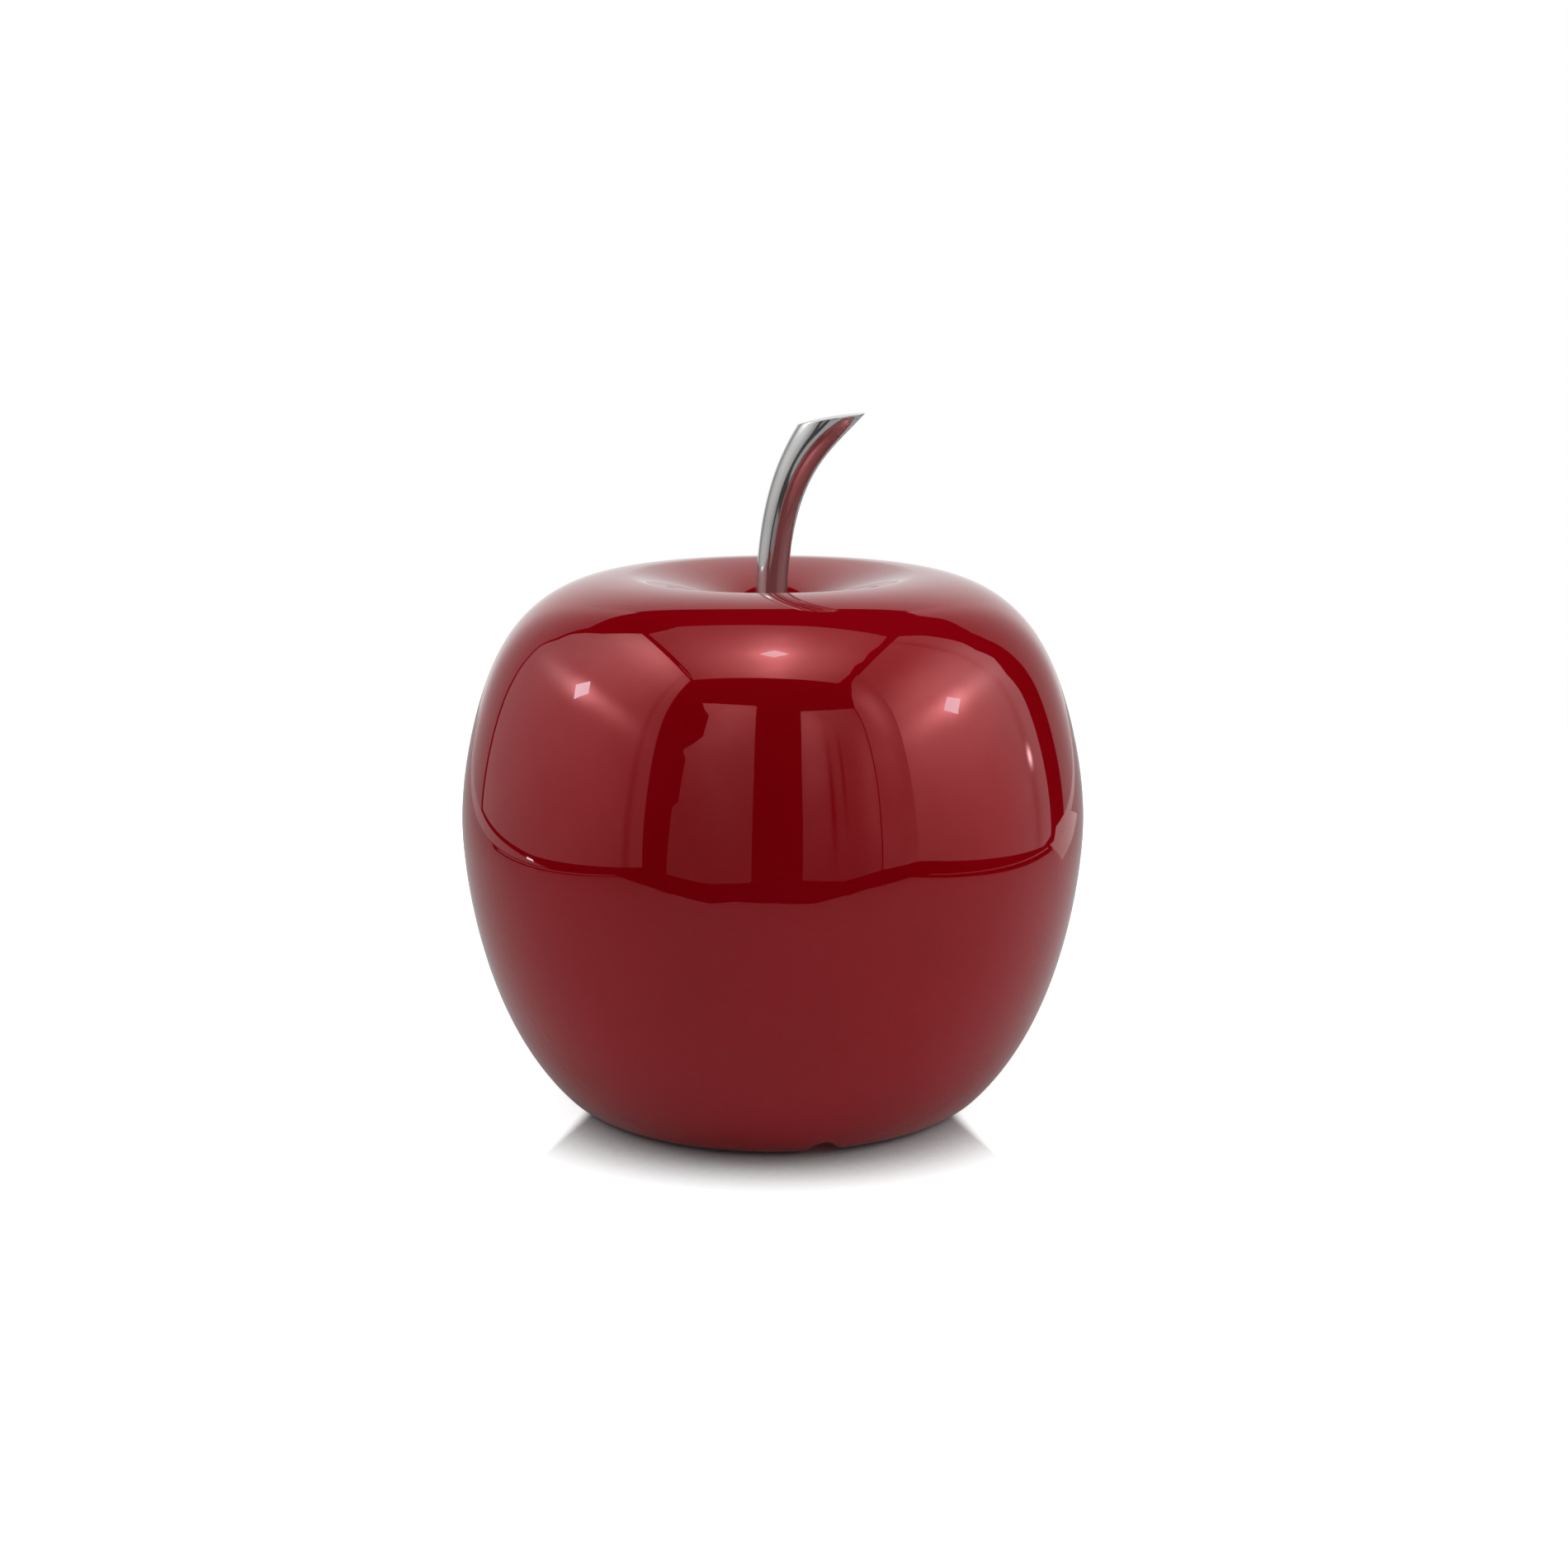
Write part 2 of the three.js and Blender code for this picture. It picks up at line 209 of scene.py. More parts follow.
# The lacquer is a deep translucent red over bright metal, under a clear coat. Its two shared effects
# are the slow swell that hand polishing leaves in the casting, and the faint peel of sprayed lacquer.
sprayed = bpy.data.node_groups.new("sprayed_surface", "ShaderNodeTree")
for socket, kind in (("Swell Size", "NodeSocketFloat"), ("Swell Depth", "NodeSocketFloat"),
                     ("Peel Size", "NodeSocketFloat"), ("Peel Depth", "NodeSocketFloat")):
    sprayed.interface.new_socket(socket, in_out="INPUT", socket_type=kind)
sprayed.interface.new_socket("Height", in_out="OUTPUT", socket_type="NodeSocketFloat")
sprayed.interface.new_socket("Depth Of Colour", in_out="OUTPUT", socket_type="NodeSocketFloat")
group_in = add_node(sprayed, "NodeGroupInput")
group_out = add_node(sprayed, "NodeGroupOutput")
places = add_node(sprayed, "ShaderNodeTexCoord").outputs["Object"]
swell = add_node(sprayed, "ShaderNodeTexNoise", {"Detail": 1.0, "Roughness": 0.4},
                 {"Vector": places, "Scale": group_in.outputs["Swell Size"]})
peel = add_node(sprayed, "ShaderNodeTexNoise", {"Detail": 2.0},
                {"Vector": places, "Scale": group_in.outputs["Peel Size"]})
swell_height = add_node(sprayed, "ShaderNodeMath", None,
                        {0: swell.outputs["Fac"], 1: group_in.outputs["Swell Depth"]}, operation="MULTIPLY")
peel_height = add_node(sprayed, "ShaderNodeMath", None,
                       {0: peel.outputs["Fac"], 1: group_in.outputs["Peel Depth"]}, operation="MULTIPLY")
height = add_node(sprayed, "ShaderNodeMath", None,
                  {0: swell_height.outputs[0], 1: peel_height.outputs[0]}, operation="ADD")
sprayed.links.new(height.outputs[0], group_out.inputs["Height"])
sprayed.links.new(swell.outputs["Fac"], group_out.inputs["Depth Of Colour"])

lacquer, shader, tree = node_material("red_lacquer")
surface = add_node(tree, "ShaderNodeGroup", node_tree=sprayed)
surface.inputs["Swell Size"].default_value = 16.0
surface.inputs["Swell Depth"].default_value = 0.00006
surface.inputs["Peel Size"].default_value = 420.0
surface.inputs["Peel Depth"].default_value = 0.0000004
bump = add_node(tree, "ShaderNodeBump", {"Strength": 1.0, "Distance": 1.0},
                {"Height": surface.outputs["Height"]})
tree.links.new(bump.outputs["Normal"], shader.inputs["Normal"])
tree.links.new(bump.outputs["Normal"], shader.inputs["Coat Normal"])
tree.links.new(ramp(tree, surface.outputs["Depth Of Colour"],
                    [(0.3, (0.245, 0.0004, 0.0035)), (0.7, (0.270, 0.0008, 0.0055))]),
               shader.inputs["Base Color"])
shader.inputs["Metallic"].default_value = 0.24
shader.inputs["Roughness"].default_value = 0.06
shader.inputs["Specular IOR Level"].default_value = 0.0
shader.inputs["Coat Weight"].default_value = 1.0
shader.inputs["Coat Roughness"].default_value = 0.008
shader.inputs["Coat IOR"].default_value = 1.38

casting, shader, tree = node_material("bare_casting")
places = add_node(tree, "ShaderNodeTexCoord").outputs["Object"]
sand = add_node(tree, "ShaderNodeTexNoise", {"Scale": 900.0, "Detail": 4.0}, {"Vector": places})
flow = add_node(tree, "ShaderNodeTexNoise", {"Scale": 45.0, "Detail": 3.0}, {"Vector": places})
tree.links.new(ramp(tree, flow.outputs["Fac"], [(0.3, (0.36, 0.36, 0.35)), (0.7, (0.52, 0.52, 0.51))]),
               shader.inputs["Base Color"])
tree.links.new(ramp(tree, sand.outputs["Fac"], [(0.3, (0.42, 0.42, 0.42)), (0.7, (0.62, 0.62, 0.62))]),
               shader.inputs["Roughness"])
bump = add_node(tree, "ShaderNodeBump", {"Strength": 0.6, "Distance": 0.0004},
                {"Height": sand.outputs["Fac"]})
tree.links.new(bump.outputs["Normal"], shader.inputs["Normal"])
shader.inputs["Metallic"].default_value = 0.85

flank, foot_edge, recess = lower_outline()
near_seam = at(BODY_RADIUS, SEAM_HEIGHT - NEAR_SEAM)
hole_top = LAND_HEIGHT + RECESS_RISE + WALL + HAND_HOLE_LIP
lacquered = [flank[0], near_seam] + flank[1:] + foot_edge + recess + [at(HAND_HOLE, hole_top)]
inside = [p for p in moved_in([flank[0]] + flank[3::3] + foot_edge[::4] + recess[::2], -1)
          if LAND_HEIGHT + FOOT_THICKNESS < p.y < SEAM_HEIGHT - WALL and p.x > HAND_HOLE + HAND_HOLE_LIP]
tongue_radius = BODY_RADIUS - WALL + TONGUE_THICKNESS
bare = [at(HAND_HOLE, hole_top), at(HAND_HOLE + HAND_HOLE_LIP, hole_top)] + inside[::-1] + [
    at(BODY_RADIUS - WALL, SEAM_HEIGHT), at(BODY_RADIUS - WALL, SEAM_HEIGHT + TONGUE_HEIGHT),
    at(tongue_radius, SEAM_HEIGHT + TONGUE_HEIGHT), at(tongue_radius, SEAM_HEIGHT), flank[0]]
bm = bmesh.new()
wedge = tau / WEDGES
notch_start = NOTCH_ANGLE - wedge / 2
for section, material, ease in ((lacquered, 0, LACQUERED_EASE), (bare, 1, BARE_EASE)):
    turn_section(bm, eased(section, ease), NOTCH_STEPS, material, notch_start, wedge)
    turn_section(bm, eased(section, ease), PLAIN_STEPS, material, notch_start + wedge, wedge, WEDGES - 1)
bmesh.ops.remove_doubles(bm, verts=bm.verts, dist=4e-6)
# The vent notch is an arch through the foot: what lies under it is lifted to its roof.
outwards = Vector((cos(NOTCH_ANGLE), sin(NOTCH_ANGLE), 0))
sideways = Vector((-sin(NOTCH_ANGLE), cos(NOTCH_ANGLE), 0))
for vert in bm.verts:
    aside = vert.co.dot(sideways)
    reach = NOTCH_RIGHT if aside > 0 else NOTCH_LEFT
    above_foot = vert.co.z > LAND_HEIGHT + FOOT_THICKNESS * 0.95
    if above_foot or vert.co.dot(outwards) < 0 or abs(aside) > reach * 2:
        continue
    roof = LAND_HEIGHT + NOTCH_HEIGHT * (1 - (aside / reach) ** 2)
    low = vert.co.z - roof
    vert.co.z = (vert.co.z + roof + hypot(low, NOTCH_EASE)) / 2
close_up(bm)
lower_half = make_piece(bm, "lower_half", lacquer, casting)
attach(lower_half, "root")
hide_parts("lower_body_shell")

# UPPER HALF OF THE BODY
# Cast like the lower half: shoulder, crest and the shallow dimple, with a thick boss under the seat
# of the stem. It drops over the tongue of the lower half, is welded there, ground flush and lacquered.
CREST_RADIUS = 0.0581
CREST_HEIGHT = 0.2149
SHOULDER = at(BODY_RADIUS - 0.0141, CREST_HEIGHT - 0.035)
SHOULDER_SLOPE = radians(65)
THROAT = at(0.020, CREST_HEIGHT - 0.0107)
THROAT_SLOPE = radians(27)
SEAT_RADIUS = 0.0096
SEAT_HEIGHT = CREST_HEIGHT - 0.016
SEAT_THICKNESS = 0.008
BOSS_RADIUS = 0.016
STUD_BORE = 0.0043
REBATE_CLEARANCE = 0.0003
SIDE_PULLS = (0.0219, 0.0168)
TOP_PULLS = (0.0233, 0.027)
DIMPLE_PULLS = (0.006, 0.008)
CORNER_EASE = 0.0004
UPPER_STEPS = 20

downhill = at(cos(SHOULDER_SLOPE), -sin(SHOULDER_SLOPE))
inwards = at(-cos(THROAT_SLOPE), -sin(THROAT_SLOPE))
crest = at(CREST_RADIUS, CREST_HEIGHT)
seam = at(BODY_RADIUS, SEAM_HEIGHT)
side = bezier(seam, seam + at(0, SIDE_PULLS[0]), SHOULDER + downhill * SIDE_PULLS[1], SHOULDER, 50)
top = bezier(SHOULDER, SHOULDER - downhill * TOP_PULLS[0], crest + at(TOP_PULLS[1], 0), crest, 50)
dimple = bezier(crest, crest - at(DIMPLE_PULLS[0], 0), THROAT - inwards * DIMPLE_PULLS[1], THROAT, 40)
bottom = [THROAT.lerp(at(SEAT_RADIUS, SEAT_HEIGHT), i / 12) for i in range(13)]
outline = side + top[1:] + dimple[1:] + bottom[1:]
boss_underside = SEAT_HEIGHT - SEAT_THICKNESS
rebate_radius = tongue_radius + REBATE_CLEARANCE
rebate_top = SEAM_HEIGHT + TONGUE_HEIGHT + REBATE_CLEARANCE
lacquered = [seam, at(BODY_RADIUS, SEAM_HEIGHT + NEAR_SEAM)] + outline[1:] + [at(STUD_BORE, SEAT_HEIGHT)]
inside = [p for p in moved_in(outline[::3] + [outline[-1]], 1)
          if p.y > rebate_top + REBATE_CLEARANCE and p.x > BOSS_RADIUS + REBATE_CLEARANCE]
bare = [at(STUD_BORE, SEAT_HEIGHT), at(STUD_BORE, boss_underside), at(BOSS_RADIUS, boss_underside)]
bare += inside[::-1] + [at(BODY_RADIUS - WALL, rebate_top), at(rebate_radius, rebate_top),
                        at(rebate_radius, SEAM_HEIGHT), seam]
bm = bmesh.new()
turn_section(bm, eased(lacquered, CORNER_EASE), UPPER_STEPS, 0, 0, wedge, WEDGES)
turn_section(bm, eased(bare, CORNER_EASE), UPPER_STEPS, 1, 0, wedge, WEDGES)
close_up(bm)
upper_half = make_piece(bm, "upper_half", lacquer, casting)
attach(upper_half, "root")
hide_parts("upper_body_shell")

# FOUR FOOT PADS
# Round pads of black rubber, glued into spot faces in the foot. They hold it a millimetre off the
# table, which shows as the thin dark gap all round.
PAD_RADIUS = 0.0045
PAD_THICKNESS = 0.0022
PAD_CIRCLE = (LAND_OUTER + LAND_INNER) / 2

rubber, shader, tree = node_material("black_rubber")
places = add_node(tree, "ShaderNodeTexCoord").outputs["Object"]
grain = add_node(tree, "ShaderNodeTexNoise", {"Scale": 1500.0, "Detail": 3.0}, {"Vector": places})
tree.links.new(ramp(tree, grain.outputs["Fac"],
                    [(0.3, (0.012, 0.012, 0.012)), (0.7, (0.030, 0.030, 0.029))]),
               shader.inputs["Base Color"])
bump = add_node(tree, "ShaderNodeBump", {"Strength": 0.5, "Distance": 0.0002},
                {"Height": grain.outputs["Fac"]})
tree.links.new(bump.outputs["Normal"], shader.inputs["Normal"])
shader.inputs["Roughness"].default_value = 0.75

for i in range(4):
    bm = bmesh.new()
    section = [at(0, 0), at(PAD_RADIUS, 0), at(PAD_RADIUS, PAD_THICKNESS), at(0, PAD_THICKNESS)]
    turn_section(bm, eased(section, CORNER_EASE), 48)
    close_up(bm)
    angle = radians(45 + 90 * i)
    bmesh.ops.translate(bm, verts=bm.verts, vec=(PAD_CIRCLE * cos(angle), PAD_CIRCLE * sin(angle), 0))
    pad = make_piece(bm, f"rubber_pad_{i + 1}", rubber)
    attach(pad, "root")
    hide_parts(f"foot_pad_{i + 1}")

# STEM
# A separate aluminium casting: a round bar bent to the right and to the front, which swells towards
# its slanting cut end. It is polished by hand along its length, and bored and tapped underneath.
STEM_FOOT = SEAT_HEIGHT + 0.0003
STEM_TOP = 0.2794
STEM_WIDTHS = (0.0128, 0.0147, 0.0206)
STEM_ROUND = 96
STEM_RINGS = 90
CROWN_RADIUS = 0.106
CUT_TILT = radians(9.7)
CUT_HALF = 0.0135
TIP_OFFSET = 0.0363
STEM_FORWARD = 0.0124
STUD_IN_STEM = 0.016
CUT_EDGE = 0.00025
centre_line = (Vector((-0.0005, 0, STEM_FOOT - 0.002)),
               Vector((-0.0001, 0.0033, STEM_FOOT + 0.0585)),
               Vector((0.016, -0.0125, STEM_TOP - 0.0115)),
               Vector((0.0303, -STEM_FORWARD, STEM_TOP + 0.0082)))
crown_drop = sqrt(CROWN_RADIUS**2 - CUT_HALF**2)
crown = Vector((TIP_OFFSET - CUT_HALF * cos(CUT_TILT) + crown_drop * sin(CUT_TILT), -STEM_FORWARD,
                STEM_TOP - CUT_HALF * sin(CUT_TILT) - crown_drop * cos(CUT_TILT)))


def stem_place(share, angle, fill=1.0):
    """A place on the bent bar: share of its length, angle round it, and share of its thickness."""
    u = 1 - share
    start, pull, push, end = centre_line
    middle = u**3 * start + 3 * u * u * share * pull + 3 * u * share**2 * push + share**3 * end
    rate = 3 * u * u * (pull - start) + 6 * u * share * (push - pull) + 3 * share**2 * (end - push)
    along = rate.normalized()
    foot, half, tip = STEM_WIDTHS
    width = foot * u * (1 - 2 * share) + half * 4 * share * u + tip * share * (2 * share - 1)
    to_right = Vector((0, 1, 0)).cross(along).normalized()
    to_back = along.cross(to_right)
    return middle + (to_right * cos(angle) + to_back * sin(angle)) * width / 2 * fill


def share_where(angle, below, fill=1.0):
    """The share of the bar's length at which its surface leaves the region that below() tells."""
    low, high = 0.0, 1.0
    for _ in range(40):
        middle = (low + high) / 2
        if below(stem_place(middle, angle, fill)):
            low = middle
        else:
            high = middle
    return low


def under_crown(place):
    """True below the slanting cut, which is a piece of a large ball's surface."""
    return (place - crown).length < CROWN_RADIUS


def under_seat(place):
    """True below the seat that the stem's foot is cut to."""
    return place.z < STEM_FOOT


polished, shader, tree = node_material("polished_aluminium")
surface = add_node(tree, "ShaderNodeGroup", node_tree=sprayed)
surface.inputs["Swell Size"].default_value = 60.0
surface.inputs["Swell Depth"].default_value = 0.00002
surface.inputs["Peel Size"].default_value = 300.0
surface.inputs["Peel Depth"].default_value = 0.0000004
places = add_node(tree, "ShaderNodeTexCoord").outputs["Object"]
stretch = add_node(tree, "ShaderNodeMapping", {"Scale": (2600.0, 2600.0, 60.0)}, {"Vector": places})
lines = add_node(tree, "ShaderNodeTexNoise", {"Scale": 1.0, "Detail": 2.0}, {"Vector": stretch.outputs[0]})
line_height = add_node(tree, "ShaderNodeMath", {1: 0.0000002}, {0: lines.outputs["Fac"]},
                       operation="MULTIPLY")
height = add_node(tree, "ShaderNodeMath", None,
                  {0: line_height.outputs[0], 1: surface.outputs["Height"]}, operation="ADD")
bump = add_node(tree, "ShaderNodeBump", {"Strength": 1.0, "Distance": 1.0}, {"Height": height.outputs[0]})
tree.links.new(bump.outputs["Normal"], shader.inputs["Normal"])
tree.links.new(ramp(tree, surface.outputs["Depth Of Colour"],
                    [(0.3, (0.48, 0.475, 0.47)), (0.7, (0.56, 0.555, 0.55))]), shader.inputs["Base Color"])
tree.links.new(ramp(tree, lines.outputs["Fac"], [(0.3, (0.05, 0.05, 0.05)), (0.7, (0.09, 0.09, 0.09))]),
               shader.inputs["Roughness"])
shader.inputs["Metallic"].default_value = 0.85

bm = bmesh.new()
angles = [tau * i / STEM_ROUND for i in range(STEM_ROUND)]
starts = [share_where(a, under_seat) for a in angles]
ends = [share_where(a, under_crown) for a in angles]
ring = bmesh.ops.create_circle(bm, cap_ends=False, segments=STEM_ROUND, radius=1)["verts"]


def next_ring(ring, places):
    """Extrudes a ring of the stem and sets the new ring on its places."""
    edges = [bm.edges.get((a, b)) for a, b in zip(ring, ring[1:] + ring[:1])]
    made = bmesh.ops.extrude_edge_only(bm, edges=edges)["geom"]
    fresh = {v for v in made if isinstance(v, bmesh.types.BMVert)}
    result = [next(e.other_vert(v) for e in v.link_edges if e.other_vert(v) in fresh) for v in ring]
    for vert, place in zip(result, places):
        vert.co = place
    return result


for vert, angle, start in zip(ring, angles, starts):
    vert.co = stem_place(start, angle)
foot_ring = ring
for i in range(1, STEM_RINGS + 1):
    part = i / STEM_RINGS
    ring = next_ring(ring, [stem_place(s + (e - s) * part, a) for a, s, e in zip(angles, starts, ends)])
cut_ring = ring
for fill in (0.97, 0.9, 0.75, 0.55, 0.35, 0.15):
    ring = next_ring(ring, [stem_place(share_where(a, under_crown, fill), a, fill) for a in angles])
bmesh.ops.contextual_create(bm, geom=ring)
bore_middle = Vector((0, 0, STEM_FOOT))
ring = foot_ring
for blend in (0.5, 1.0):
    circle = [bore_middle + Vector((cos(a), sin(a), 0)) * STUD_BORE for a in angles]
    ring = next_ring(ring, [v.co.lerp(c, blend) for v, c in zip(foot_ring, circle)])
ring = next_ring(ring, [v.co + Vector((0, 0, STUD_IN_STEM)) for v in ring])
bmesh.ops.contextual_create(bm, geom=ring)
crisp = [bm.edges.get((a, b)) for a, b in zip(cut_ring, cut_ring[1:] + cut_ring[:1])]
bmesh.ops.bevel(bm, geom=crisp, offset=CUT_EDGE, offset_type="OFFSET", segments=3, profile=0.5,
                affect="EDGES", material=-1)
close_up(bm)
stem = make_piece(bm, "stem_bar", polished)
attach(stem, "root")
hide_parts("stem")

# STUD, WASHERS AND NUT
# The M8 set that pulls the stem down on its seat: a threaded stud, a flat washer, a split spring
# washer and a hexagon nut, all zinc plated steel. They are fitted from inside, through the hand hole.
PITCH = 0.00125
THREAD_DEPTH = 0.00068
STUD_RADIUS = 0.004
STUD_TOP = STEM_FOOT + STUD_IN_STEM
GAP = 0.0003
FLAT_WASHER = 0.012
WASHER_THICKNESS = 0.002
SPRING_WASHER = 0.0074
SPRING_SPLIT = 0.0016
NUT_ACROSS_FLATS = 0.013
NUT_THICKNESS = 0.0065
NUT_THREAD = 0.0006
NUT_CHAMFER = 1.73
STUD_TAIL = 0.004
FASTENER_EASE = 0.0002
FASTENER_STEPS = 96

zinc, shader, tree = node_material("zinc_plated_steel")
places = add_node(tree, "ShaderNodeTexCoord").outputs["Object"]
cloud = add_node(tree, "ShaderNodeTexNoise", {"Scale": 260.0, "Detail": 4.0}, {"Vector": places})
tree.links.new(ramp(tree, cloud.outputs["Fac"], [(0.3, (0.46, 0.48, 0.52)), (0.7, (0.66, 0.67, 0.68))]),
               shader.inputs["Base Color"])
tree.links.new(ramp(tree, cloud.outputs["Fac"], [(0.3, (0.24, 0.24, 0.24)), (0.7, (0.38, 0.38, 0.38))]),
               shader.inputs["Roughness"])
shader.inputs["Metallic"].default_value = 1.0


def thread_lift(vert, top, bottom):
    """How far the crest of the thread stands out at a place, from 0 to 1, fading out at both ends."""
    turn = atan2(vert.co.y, vert.co.x) / tau
    wave = abs(((vert.co.z / PITCH - turn) % 1) * 2 - 1)
    fade = min(1, max(0, (top - vert.co.z) / PITCH), max(0, (vert.co.z - bottom) / PITCH))
    return min(1, wave * 1.25) * fade


def add_fastener(bm, name, node):
    """Closes a fastener's mesh, and lets it stand in for its CAD node."""
    close_up(bm, sharp=radians(28))
    piece = make_piece(bm, name, zinc)
    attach(piece, "root")
    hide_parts(node)


flat_top = boss_underside - GAP
spring_top = flat_top - WASHER_THICKNESS - GAP
nut_top = spring_top - WASHER_THICKNESS - GAP
nut_bottom = nut_top - NUT_THICKNESS
stud_bottom = nut_bottom - STUD_TAIL

bm = bmesh.new()
root_radius = STUD_RADIUS - THREAD_DEPTH
rows = int((STUD_TOP - stud_bottom) / PITCH * 8)
bar = [at(root_radius, stud_bottom + (STUD_TOP - stud_bottom) * i / rows) for i in range(rows + 1)]
turn_section(bm, [at(0, stud_bottom)] + bar + [at(0, STUD_TOP)], 48)
bmesh.ops.remove_doubles(bm, verts=bm.verts, dist=1e-7)
for vert in bm.verts:
    radius = hypot(vert.co.x, vert.co.y)
    if radius > root_radius / 2:
        grown = 1 + THREAD_DEPTH * thread_lift(vert, STUD_TOP, stud_bottom) / radius
        vert.co.x *= grown
        vert.co.y *= grown
add_fastener(bm, "threaded_stud", "stem_stud")

bm = bmesh.new()
section = [at(STUD_BORE, 0), at(FLAT_WASHER, 0), at(FLAT_WASHER, WASHER_THICKNESS),
           at(STUD_BORE, WASHER_THICKNESS), at(STUD_BORE, 0)]
middle = at((STUD_BORE + FLAT_WASHER) / 2, 0)
turn_section(bm, eased([middle] + section[1:] + [middle], FASTENER_EASE), FASTENER_STEPS)
bmesh.ops.translate(bm, verts=bm.verts, vec=(0, 0, flat_top - WASHER_THICKNESS))
add_fastener(bm, "flat_washer", "stem_flat_washer")

bm = bmesh.new()
middle = at((STUD_BORE + SPRING_WASHER) / 2, 0)
section = [middle, at(SPRING_WASHER, 0), at(SPRING_WASHER, WASHER_THICKNESS),
           at(STUD_BORE, WASHER_THICKNESS), at(STUD_BORE, 0), middle]
split = SPRING_SPLIT / (SPRING_WASHER * 0.8)
turn_section(bm, eased(section, FASTENER_EASE), FASTENER_STEPS, 0, split / 2, tau - split)
bmesh.ops.remove_doubles(bm, verts=bm.verts, dist=1e-7)
bmesh.ops.holes_fill(bm, edges=[e for e in bm.edges if e.is_boundary], sides=0)
# The two cut ends slant, so the ring is turned a little more the higher it lies.
for vert in bm.verts:
    lean = (vert.co.z / WASHER_THICKNESS - 0.5) * split * 0.6
    vert.co = Matrix.Rotation(lean, 3, "Z") @ vert.co
bmesh.ops.translate(bm, verts=bm.verts, vec=(0, 0, spring_top - WASHER_THICKNESS))
add_fastener(bm, "spring_washer", "stem_spring_washer")

bm = bmesh.new()
flat_radius = NUT_ACROSS_FLATS / 2
corner_radius = flat_radius / cos(pi / 6)
heights = [NUT_THICKNESS * i / 40 for i in range(41)]
section = [at(STUD_BORE, h) for h in heights[::-1]] + [at(flat_radius * 0.9, 0)]
section += [at(corner_radius, h) for h in heights] + [at(flat_radius * 0.9, NUT_THICKNESS)]
turn_section(bm, section + section[:1], FASTENER_STEPS)
bmesh.ops.remove_doubles(bm, verts=bm.verts, dist=1e-7)
for vert in bm.verts:
    radius = hypot(vert.co.x, vert.co.y)
    if radius > flat_radius:
        turn = (atan2(vert.co.y, vert.co.x) % (pi / 3)) - pi / 6
        edge = min(vert.co.z, NUT_THICKNESS - vert.co.z)
        reach = min(flat_radius / cos(turn), flat_radius * 0.96 + edge * NUT_CHAMFER)
        scale = reach / radius
    elif radius < STUD_BORE * 1.05:
        scale = 1 - NUT_THREAD * thread_lift(vert, NUT_THICKNESS, 0) / radius
    else:
        scale = 1
    vert.co.x *= scale
    vert.co.y *= scale
bmesh.ops.translate(bm, verts=bm.verts, vec=(0, 0, nut_bottom))
add_fastener(bm, "hexagon_nut", "stem_nut")

# TABLE AND LIGHT TENT
# The apple stands on a white table inside a tent of white cloth, lit from outside through its two
# sides and its top. The front is black cloth with two openings, and the camera looks through it.
TENT_SIDE = 0.6
TENT_FRONT = -0.54
TENT_TOP = 1.25
TENT_BACK = 1.2
TABLE_LEFT = -0.56
TABLE_RIGHT = 0.53
HEM_SIDE = 0.578
LAMP_PROUD = 0.002
SKIRT_PROUD = 0.003
CREASE_PROUD = 0.004
ROOF_HEM_DROP = 0.005
FAR = 10.0


def flat_sheet(name, corners, material, seen=False):
    """A flat piece of the stage from its corners, hidden from the camera unless it is seen."""
    bm = bmesh.new()
    bm.faces.new([bm.verts.new(c) for c in corners])
    sheet = make_piece(bm, name, material)
    sheet.visible_camera = seen


def lit_cloth(name, level, glows, crumple=0.12, colour=(1, 1, 1)):
    """Cloth that shines evenly, with soft glows: (place, spread along x, y, z, strength)."""
    material, shader, tree = node_material(name)
    places = add_node(tree, "ShaderNodeTexCoord").outputs["Object"]
    total = None
    for place, spread, strength in glows:
        mapping = add_node(tree, "ShaderNodeMapping",
                           {"Location": tuple(-p / s for p, s in zip(place, spread)),
                            "Scale": tuple(1 / s for s in spread)}, {"Vector": places})
        squared = add_node(tree, "ShaderNodeVectorMath", None,
                           {0: mapping.outputs[0], 1: mapping.outputs[0]}, operation="DOT_PRODUCT")
        fall = add_node(tree, "ShaderNodeMath", {0: exp(-1)}, {1: squared.outputs["Value"]},
                        operation="POWER")
        glow = add_node(tree, "ShaderNodeMath", {1: strength, 2: level}, {0: fall.outputs[0]},
                        operation="MULTIPLY_ADD")
        if total:
            tree.links.new(total, glow.inputs[2])
        total = glow.outputs[0]
    folds = add_node(tree, "ShaderNodeTexNoise", {"Scale": 7.0, "Detail": 3.0, "Distortion": 0.6},
                     {"Vector": places})
    even = 1 if glows else level
    shade = add_node(tree, "ShaderNodeMapRange",
                     {"To Min": even * (1 - crumple), "To Max": even * (1 + crumple)},
                     {"Value": folds.outputs["Fac"]}).outputs["Result"]
    if total:
        shade = add_node(tree, "ShaderNodeMath", None, {0: total, 1: shade}, operation="MULTIPLY").outputs[0]
    shader.inputs["Base Color"].default_value = (0, 0, 0, 1)
    shader.inputs["Specular IOR Level"].default_value = 0.0
    shader.inputs["Emission Color"].default_value = (*colour, 1)
    tree.links.new(shade, shader.inputs["Emission Strength"])
    return material


